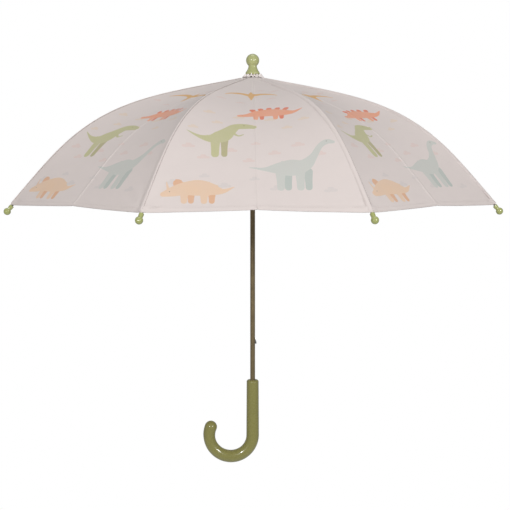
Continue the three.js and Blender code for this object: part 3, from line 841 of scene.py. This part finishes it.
def seam(k):
    arcs = np.linspace(12, RIB_ARC - 1.0, 120)
    spin = about_z(rib_azimuth(k))
    rolled = [(-5.2, 0.05), (-5.0, 0.4), (-3.0, 0.6), (-0.6, 0.8), (0.5, 0.75), (0.9, 0.3), (0.6, 0.05),
              (-2.5, 0.03)]
    under = [(-4.0, -0.5), (-3.6, -0.85), (3.6, -0.85), (4.0, -0.5)]
    made = [
        strip_along_rib(f"seam_{k}", rolled, arcs, PLAIN),
        strip_along_rib(f"seam_tape_{k}", under, arcs[:-4], PLAIN),
        sewn_on(f"seam_stitches_{k}", [spindles(*on_gore(arcs, -4.4, 0.6), 3.0, 2.2, 0.17)]),
        # A near-continuous row of dark stitches beside the seam: painted shadow standing in for the groove's
        # shadow along the seam's edge.
        sewn_on(f"seam_shadow_chain_{k}", [spindles(*on_gore(arcs, 1.25, 0.2), 2.6, 2.5, 0.34)], SEAM_SHADOW_THREAD),
        sewn_on(f"rib_ties_{k}", [rib_tie(arc) for arc in (60, 128, 232, 320)], smooth=80),
    ]
    for obj in made:
        shown(place(obj, spin), f"rib_{k}")


for k in range(1, RIBS + 1):
    seam(k)


# ---- the finial, tips, handle and shaft ----
def arc_outline(centre_z, radius, start, end, steps):
    angles = np.linspace(start, end, steps + 1)
    return [(radius * math.cos(a), centre_z + radius * math.sin(a)) for a in angles]


def finial():
    ball_r = 9.4
    ball_z = FINIAL_HIGH - ball_r
    neck_r, base_r = 6.0, 10.25
    ball = arc_outline(ball_z, ball_r, -math.acos((neck_r - 0.3) / ball_r) + 0.03, math.pi / 2, 24)
    ball[-1] = (0, ball_z + ball_r)
    bore = [(0, 8), (3.8, 8), (3.8, 0.3), (4.2, 0)]
    foot = [(base_r - less, up) for less, up in ((0.9, 0), (0.2, 0.5), (0, 1.3), (0.25, 2.4), (1.05, 3.8))]
    flare = [(neck_r + more, up) for more, up in ((2.2, 5.2), (1.25, 7), (0.6, 8.6), (0.15, 10), (0, 11))]
    outline = [(r, FINIAL_LOW + up) for r, up in (*bore, *foot, *flare)]
    obj = lathe("finial_ball", [*outline, *ball], FINIAL_PLASTIC, 64, 50)
    shown(obj, "stick", "finial")


def tip(k):
    sleeve_r, ball_r, ball_z = 2.95, 4.7, 9.0
    ball = arc_outline(ball_z, ball_r, -math.acos((sleeve_r - 0.5) / ball_r), math.pi / 2, 18)
    ball[-1] = (0, ball_z + ball_r)
    outline = [(0, 5.6), (1.95, 5.6), (1.95, -0.5), (2.1, -0.7), (sleeve_r - 0.2, -0.7), (sleeve_r, -0.45),
               (sleeve_r, 2.8), (sleeve_r - 0.3, 4.0), *ball]
    obj = lathe(f"ball_tip_{k}", outline, TIP_PLASTIC, 40, 50)
    r, z, slope = profile(RIB_ARC + 0.8, RIB_DROP)
    tilt = Matrix.Rotation(math.pi / 2 + float(slope), 4, "Y")
    place(obj, about_z(rib_azimuth(k)) @ shift(r, z) @ tilt)
    shown(obj, f"rib_{k}", f"tip_{k}")


def handle_line():
    """The crook's centre line from the grip's top to the knob's end, with a radius for each point."""
    top, bend_r, arc = GRIP_TOP, 32.0, math.radians(202.6)
    bottom = -top
    grip_r, top_r = 9.1, 8.65
    line, radii = [], []
    for down, less in ((0, 1.6), (0.2, 1.25), (1.25, 0.2), (1.7, 0)):
        line.append((0, 0, top - down))
        radii.append(top_r - less)
    for z in np.linspace(top - 4, bottom, 22)[:-1]:
        line.append((0, 0, z))
        radii.append(top_r + (grip_r - top_r) * (top - z) / (top - bottom))
    for a in np.linspace(0, arc, 60):
        line.append((bend_r * (math.cos(a) - 1), 0, bottom - bend_r * math.sin(a)))
        thinner = 0.6 * min(1, max(0, a / arc - 0.45) / 0.35)
        radii.append(grip_r - thinner + 0.45 * max(0, a / arc - 0.85) / 0.15)
    ahead = np.array([-math.sin(arc), 0, -math.cos(arc)])
    end, knob = np.array(line[-1]), radii[-1]
    for a in np.linspace(0.12, math.pi / 2 - 0.04, 12):
        line.append(tuple(end + ahead * knob * math.sin(a)))
        radii.append(knob * math.cos(a))
    return line, radii


def handle():
    """The moulded crook, with a faint parting line at both sides and a socket for the shaft."""
    line, radii = handle_line()
    sides, parting = 48, 0.12
    sections = []
    for r in radii:
        outline = circle(r, sides)
        for i in (sides // 4, 3 * sides // 4):
            a, b = outline[i]
            outline[i] = (a, b + math.copysign(min(parting, r * 0.02), b))
        sections.append(outline)
    obj = sweep("crook_handle", line, sections, HANDLE_PLASTIC, smooth=50)
    bore = [(0, 9), (3.8, 9), (3.8, GRIP_TOP + 1), (0, GRIP_TOP + 1)]
    cut_away(obj, [lathe("socket_cutter", bore, HANDLE_PLASTIC, 40)])
    shade_smoothly(obj.data, 50)
    shown(obj, "stick", "handle")


def catch_slot(name, node):
    low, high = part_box(node)
    middle = (low.z + high.z) / 2 / MM
    return box(name, (7, 2.4, 11), (3.5, 0, middle), BRONZE)


def shaft():
    outline = [(2.9, SHAFT_LOW), (3.5, SHAFT_LOW), (3.5, SHAFT_HIGH), (2.9, SHAFT_HIGH)]
    obj = lathe("shaft_tube", outline, BRONZE, 56, 30)
    cut_away(obj, [catch_slot("slot_low", "bottom_catch"), catch_slot("slot_high", "top_catch")])
    shade_smoothly(obj.data, 30)
    shown(obj, "stick", "shaft")


finial()
for k in range(1, RIBS + 1):
    tip(k)
handle()
shaft()


# ---- the gathered collar under the finial ----
def collar():
    """A ring of cloth gathered under the finial: it stands out in ruffles that deepen to its edge."""
    inner_r, outer_r = 7.5, 14.7
    around, out_steps, ruffles = 480, 16, 17
    points, faces, places = [], [], []
    for layer in (0, 1):
        for i in range(out_steps + 1):
            t = i / out_steps
            for j in range(around):
                a = 2 * math.pi * j / around
                wobble = 0.5 * math.sin(3 * a + 1) + 0.4 * math.sin(7 * a + 2)
                phase = ruffles * a + 1.1 * math.sin(2 * a) + 0.9 * math.sin(5 * a + 1)
                wave = math.sin(phase)
                r = inner_r + (outer_r + 1.0 * wobble - inner_r) * t + 0.8 * math.cos(phase) * t
                peak = math.sin(math.pi * min(1, t * 1.15)) * 1.5 + 0.5
                height = (1.35 + 0.6 * wobble) * wave * min(1, max(0, t - 0.15) / 0.4) * peak
                under = TOP_Z - (r - TOP_R) * math.tan(TOP_SLOPE) + 0.9
                z = max(TOP_Z + 3.2 - 3.4 * t**1.3 + height, under) - 0.3 * layer
                points.append((r * math.cos(a), r * math.sin(a), z))
                places.append((a * 14 * 1.9, r))
    ring = (out_steps + 1) * around
    for first in (0, ring):
        for i in range(out_steps):
            faces += band(first + i * around, first + (i + 1) * around, around)
    for rim in (0, out_steps * around):
        faces += band(rim, rim + ring, around)
    obj = mesh_object("collar_ruffle", points, faces, COLLAR, smooth=80)
    flat_map(obj.data, places)
    shown(obj, "stick", "rosette")


collar()


# ---- the frame under the cloth ----
def joined(name, objects):
    """One object from several, each keeping its own material."""
    bm = bmesh.new()
    slots = []
    for obj in objects:
        material = obj.data.materials[0]
        if material not in slots:
            slots.append(material)
        old = len(bm.faces)
        bm.from_mesh(obj.data)
        bm.faces.ensure_lookup_table()
        for face in bm.faces[old:]:
            face.material_index = slots.index(material)
        bpy.data.objects.remove(obj)
    mesh = bpy.data.meshes.new(name)
    bm.to_mesh(mesh)
    bm.free()
    for material in slots:
        mesh.materials.append(material)
    shade_smoothly(mesh, 35)
    return linked(name, mesh)


def channel(width, depth, wall):
    """A U channel's section, open upwards, as (sideways, up)."""
    w, d = width / 2, depth / 2
    return [(-w, -d), (w, -d), (w, d), (w - wall, d), (w - wall, wall - d), (wall - w, wall - d),
            (wall - w, d), (-w, d)]


def disc_sideways(name, radius, width, x, z, material, hole=0.0):
    """A disc or ring whose axis lies sideways, across a rib at azimuth 0."""
    half = width / 2
    edge = [(radius - 0.2, half), (radius, half - 0.2), (radius, 0.2 - half), (radius - 0.2, -half)]
    inner = [(hole, half)] if hole else [(0, half), (radius * 0.6, half)]
    outline = [*inner, *edge, *((r, -up) for r, up in inner[::-1])]
    obj = lathe(name, outline, material, 24, 50)
    return place(obj, shift(x, z) @ Matrix.Rotation(math.pi / 2, 4, "X"))


JOINT_ARC = 170
RIVET_DROP = RIB_DROP + 2.6


def rib(k):
    """A steel channel, flattened into an eye at the crown, with a lug and a rivet for its stretcher."""
    arcs = np.linspace(9, RIB_ARC + 5, 100)
    r, z, _ = profile(arcs, RIB_DROP)
    line = np.stack([r, np.zeros_like(r), z], -1)
    bar = sweep(f"rib_bar_{k}", line, [channel(2.4, 2.2, 0.5)] * len(line), FRAME_STEEL, smooth=30)
    reach, rise = line[0][0] - CROWN_PIVOT_R, line[0][2] - CROWN_PIVOT_Z
    long = math.hypot(reach, rise)
    neck = box(f"rib_neck_{k}", (long, 2.4, 1.8), (long / 2 + 1.3, 0, 0), FRAME_STEEL)
    tilt = Matrix.Rotation(-math.atan2(rise, reach), 4, "Y")
    bevelled(place(neck, shift(CROWN_PIVOT_R, CROWN_PIVOT_Z) @ tilt), 0.35)
    eye = disc_sideways(f"rib_eye_{k}", 2.0, 2.4, CROWN_PIVOT_R, CROWN_PIVOT_Z, FRAME_STEEL, hole=0.75)
    rivet_r, rivet_z, slope = profile(JOINT_ARC, RIVET_DROP)
    lug = box(f"rib_lug_{k}", (5, 1.8, 3.4), (0, 0, 1.9), FRAME_STEEL)
    bevelled(place(lug, shift(rivet_r, rivet_z) @ Matrix.Rotation(float(slope), 4, "Y")), 0.4)
    rivet = disc_sideways(f"rib_rivet_{k}", 1.5, 2.8, rivet_r, rivet_z, BRIGHT_STEEL)
    obj = place(joined(f"steel_rib_{k}", [bar, neck, eye, lug, rivet]), about_z(rib_azimuth(k)))
    shown(obj, f"rib_{k}", f"rib_{k}")


def refined(name, node, material, width):
    """A CAD node's shape with its hard edges rounded, shown in its place."""
    source = frame["nodes"][node]
    obj = linked(name, source.data.copy())
    obj.data.transform(source.matrix_world)
    obj.data.materials.clear()
    obj.data.materials.append(material)
    bm = bmesh.new()
    bm.from_mesh(obj.data)
    bmesh.ops.remove_doubles(bm, verts=bm.verts, dist=1e-6)
    bmesh.ops.dissolve_limit(bm, angle_limit=math.radians(1), verts=bm.verts, edges=bm.edges)
    bm.to_mesh(obj.data)
    bm.free()
    shown(bevelled(obj, width, 25), node, node)


def ring_wire(name, node, body):
    """A round wire closed into a ring."""
    low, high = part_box(node)
    thick = (high.z - low.z) / 2 / MM
    radius = (high.x - low.x) / 2 / MM - thick
    middle = (high.z + low.z) / 2 / MM
    outline = []
    for a in np.linspace(0, 2 * math.pi, 13)[:-1]:
        outline.append((radius + thick * math.cos(a), middle + thick * math.sin(a)))
    shown(lathe(name, outline, BRIGHT_STEEL, 64, 80), body, node)


def radial_cutters(width, inner, outer, low, high):
    size, centre = (outer - inner, width, high - low), ((outer + inner) / 2, 0, (low + high) / 2)
    made = []
    for k in range(1, RIBS + 1):
        made.append(place(box(f"slot_{k}", size, centre, BLACK_PLASTIC), about_z(rib_azimuth(k))))
    return made


def ring_cutter(inner, outer, low, high):
    return lathe("groove", [(inner, low), (outer, low), (outer, high), (inner, high)], BLACK_PLASTIC, 64)


def finish_moulding(obj):
    bevelled(obj, 0.15, 40)
    shade_smoothly(obj.data, 50)


def crown():
    low, high = (c.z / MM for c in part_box("crown"))
    outline = rounded([(3.8, low), (10.5, low), (10.5, high), (3.8, high), (3.8, low + 0.01)], 0.5)
    obj = lathe("crown_moulding", outline[:-1], BLACK_PLASTIC, 64, 50)
    groove = ring_cutter(6.8, 11.5, CROWN_PIVOT_Z - 0.9, CROWN_PIVOT_Z + 0.9)
    cut_away(obj, [groove, *radial_cutters(3.4, 5.1, 12.5, low - 1, high - 1.3)])
    finish_moulding(obj)
    shown(obj, "stick", "crown")


def runner():
    """The sliding runner: a ribbed grip, a flange slotted for the stretchers and a catch window."""
    low, high, pivot = RUNNER_LOW, RUNNER_HIGH, RUNNER_PIVOT_Z
    bore, sleeve, flange = 3.8, 7.2, 12.5
    fin = pivot - 5.5
    grips = []
    for i in range(7):
        z = low + 22 + 3.2 * i
        grips += [(sleeve, z - 0.9), (6.75, z - 0.45), (6.75, z + 0.45), (sleeve, z + 0.9)]
    foot = [(8.0, 0), (8.4, 0.4), (8.4, 1.8), (8.1, 2.4), (7.4, 3.2), (sleeve, 3.8)]
    outline = [(bore, low), *((r, low + up) for r, up in foot), *grips, (sleeve, fin - 4.4),
               (7.6, fin - 3.4), (12.2, fin - 0.2), (flange, fin + 0.3), (flange, high - 0.5),
               (12.0, high), (bore, high)]
    obj = lathe("runner_moulding", outline, BLACK_PLASTIC, 64, 50)
    height = high - low
    keyway = box("keyway", (6.1, 2.6, height + 2), (3.05, 0, low + height / 2), BLACK_PLASTIC)
    window = box("window", (16.8, 2.6, 12.2), (8.4, 0, low + 9), BLACK_PLASTIC)
    groove = ring_cutter(9.3, 13.5, pivot - 0.9, pivot + 0.9)
    slots = radial_cutters(3.6, 7.2, 14.5, pivot - 2.8, high + 1)
    cut_away(obj, [groove, keyway, window, *slots])
    finish_moulding(obj)
    shown(obj, "runner", "runner")


def stop_ring():
    low, high = (c.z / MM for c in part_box("stop_ring"))
    outline = rounded([(3.8, low), (5.3, low), (5.3, high), (3.8, high)], 0.4)
    shown(lathe("stop_collar", outline, BRIGHT_STEEL, 48, 50), "stick", "stop_ring")


for k in range(1, RIBS + 1):
    rib(k)
    refined(f"steel_stretcher_{k}", f"stretcher_{k}", FRAME_STEEL, 0.2)
ring_wire("crown_ring_wire", "crown_wire", "stick")
ring_wire("runner_ring_wire", "runner_wire", "runner")
crown()
runner()
stop_ring()
for end in ("top", "bottom"):
    refined(f"{end}_spring_catch", f"{end}_catch", BRIGHT_STEEL, 0.18)


# ---- the tie strap, laid up the outside of a rear gore, with its two snaps ----
STRAP_RIB = 4
STRAP_WIDTH = 18
STRAP_LENGTH = 150
STRAP_FROM_CREASE = 12
STRAP_THICK = 1.1
STRAP_LIFT = 0.75


def strap_point(up, sideways, lift):
    arc = np.asarray(RIB_ARC - 8 - STRAP_LENGTH * np.asarray(up, float))
    across = 1 - (STRAP_FROM_CREASE - sideways) / half_width(arc)
    return gore_points(arc, across, 1, STRAP_LIFT + lift)


def strap_rows(ups, outline):
    """The strap's cross-sections: its width tapers to a round end, and it waves a little."""
    rows, half = [], STRAP_WIDTH / 2
    for up in ups:
        taper = 1 if up <= 0.94 else max(0.12, math.sqrt(max(0, 1 - ((up - 0.94) / 0.0605) ** 2)))
        wave = 0.25 * math.sin(up * 19)
        rows.append([strap_point(up, x * half * taper, h * STRAP_THICK + wave) for x, h in outline])
    return rows


def strap():
    """Doubled cloth with rolled edges, one end rounded and the other sewn down under the hem."""
    ups = np.concatenate([np.linspace(0, 0.93, 70), 0.94 + 0.06 * np.sin(np.linspace(0, math.pi / 2, 12))])
    outline = [(-1, 0.35), (-0.985, 0.8), (-0.93, 1.0), (-0.8, 0.86), (-0.4, 0.9), (0, 0.92), (0.4, 0.9),
               (0.8, 0.86), (0.93, 1.0), (0.985, 0.8), (1, 0.35), (0.93, 0), (0, 0.0), (-0.93, 0)]
    n = len(outline)
    points = np.array(strap_rows(ups, outline)).reshape(-1, 3)
    obj = mesh_object("strap_cloth", points, tube_faces(len(ups), n), PLAIN, smooth=70)
    across = np.tile([x * STRAP_WIDTH / 2 for x, _ in outline], len(ups))
    flat_map(obj.data, np.stack([across, np.repeat(ups * STRAP_LENGTH, n)], -1))
    place(obj, about_z(rib_azimuth(STRAP_RIB)))
    shown(obj, "strap", "tie_strap")


def strap_stitches():
    """A row of stitches along each edge of the strap and two across its sewn end."""
    side, ups = 7.3, np.linspace(0.01, 0.93, 60)
    edges = [[(u, x, STRAP_THICK * 0.92 + 0.25 * math.sin(u * 19)) for u in ups] for x in (-side, side)]
    ends = [[(u, x, STRAP_THICK) for x in np.linspace(-side, side, 9)] for u in (0.02, 0.055)]
    rows = []
    for spots in (*edges, *ends):
        line = np.array([strap_point(*spot) for spot in spots])
        out = np.array([strap_point(u, x, 2) - strap_point(u, x, 1) for u, x, _ in spots])
        rows.append(spindles(line, out, 3.0, 2.2, 0.17))
    sewn = sewn_on("strap_stitches", rows)
    shown(place(sewn, about_z(rib_azimuth(STRAP_RIB))), "strap")


def snap(node, outline):
    """Half of a snap fastener, turned from its outline, on the place and axis of its CAD node."""
    obj = lathe(f"{node}_metal", outline, BRIGHT_STEEL, 40, 50)
    shown(place(obj, snap_matrix(frame["nodes"][node])), "strap", node)


def snap_matrix(source):
    """Where a snap sits: its base's middle, with its axis along +Z, from the flat face of its CAD node."""
    points = [source.matrix_world @ v.co for v in source.data.vertices]
    turned = source.matrix_world.to_3x3()
    faces = [(polygon.area, turned @ polygon.normal) for polygon in source.data.polygons]
    middle = sum(points, Vector()) / len(points)
    up = sum((a * n * max(0.0, n.dot(middle)) for a, n in faces), Vector()).normalized()
    areas = {}
    for area, n in faces:
        key = tuple(round(c, 2) for c in n)
        areas[key] = areas.get(key, 0) + area
    base = -Vector(max((k for k in areas if Vector(k).dot(up) < 0), key=areas.get))
    base.normalize()
    lowest = min(p.dot(base) for p in points)
    centre = middle - base * (middle.dot(base) - lowest)
    return Matrix.Translation(centre) @ base.to_track_quat("Z", "Y").to_matrix().to_4x4()


STUD = [(0, 0), (4.6, 0), (4.8, 0.25), (4.75, 0.6), (4.2, 0.95), (2.5, 1.0), (2.1, 1.1), (1.85, 1.5),
        (2.0, 2.0), (1.7, 2.3), (0, 2.4)]
SOCKET = [(0, 0), (4.6, 0), (4.8, 0.25), (4.75, 0.6), (4.3, 0.9), (3.6, 1.0), (3.2, 1.5), (2.8, 1.6),
          (2.4, 1.5), (2.1, 1.0), (0, 0.9)]
strap()
strap_stitches()
snap("snap_stud", STUD)
snap("snap_socket", SOCKET)


# ---- camera, light and floor ----
def camera():
    """The camera, worked out from the photograph. focal and aside are in pixels of a picture that wide."""
    picture, focal, aside = 510, 1056.7, 2.35
    data = bpy.data.cameras.new("camera")
    data.sensor_width = 36
    data.lens = data.sensor_width * focal / picture
    data.clip_end = 50
    data.shift_x = aside / picture
    distance, height, pitch, turn = 1.5264, 0.3712, math.radians(5.466), math.radians(-0.916)
    cam = linked("camera", data)
    cam.rotation_euler = (math.pi / 2 - pitch, 0, turn)
    cam.location = (distance * math.sin(turn), -distance * math.cos(turn), height)
    bpy.context.scene.camera = cam


def area_light(name, place_m, target, size, power):
    data = bpy.data.lights.new(name, "AREA")
    data.shape = "DISK"
    data.size = size
    data.energy = power
    lamp = linked(name, data)
    lamp.location = place_m
    lamp.rotation_euler = (Vector(target) - Vector(place_m)).to_track_quat("-Z", "Y").to_euler()
    return lamp


def surroundings():
    """White behind the object, and a dimmer studio where its surfaces are lit or mirror it."""
    world = bpy.data.worlds.new("studio")
    world.use_nodes = True
    bpy.context.scene.world = world
    tree = world.node_tree
    ray = add(tree, "ShaderNodeLightPath")
    lit = tinted(tree, (0.36, 0.36, 0.36), ray.outputs["Is Glossy Ray"], (0.26, 0.26, 0.26))
    seen = tinted(tree, lit, ray.outputs["Is Camera Ray"], (1.0, 1.0, 1.0))
    tree.links.new(seen, tree.nodes["Background"].inputs["Color"])


def white_floor():
    m = bpy.data.materials.new("floor_white")
    m.use_nodes = True
    tree = m.node_tree
    tree.nodes.clear()
    out = add(tree, "ShaderNodeOutputMaterial")
    mix = add(tree, "ShaderNodeMixShader")
    ray = add(tree, "ShaderNodeLightPath")
    matt = add(tree, "ShaderNodeBsdfDiffuse")
    matt.inputs["Color"].default_value = (0.8, 0.8, 0.8, 1)
    glow = add(tree, "ShaderNodeEmission")
    tree.links.new(ray.outputs["Is Camera Ray"], mix.inputs[0])
    tree.links.new(matt.outputs[0], mix.inputs[1])
    tree.links.new(glow.outputs[0], mix.inputs[2])
    tree.links.new(mix.outputs[0], out.inputs[0])
    box("floor", (9000, 9000, 20), (0, 0, -1610), m)


bpy.context.scene.view_settings.view_transform = "Standard"
camera()
surroundings()
white_floor()
area_light("key", (1.05, -1.8, 0.8), (0, 0, 0.35), 0.5, 14.5)
area_light("fill", (-0.95, -2.0, 0.75), (0, 0, 0.35), 0.35, 14)
area_light("top", (0, 0.3, 2.4), (0, 0, 0.4), 1.4, 6)
area_light("back", (0, 2.4, 1.0), (0, 0, 0.35), 1.2, 16).visible_glossy = False
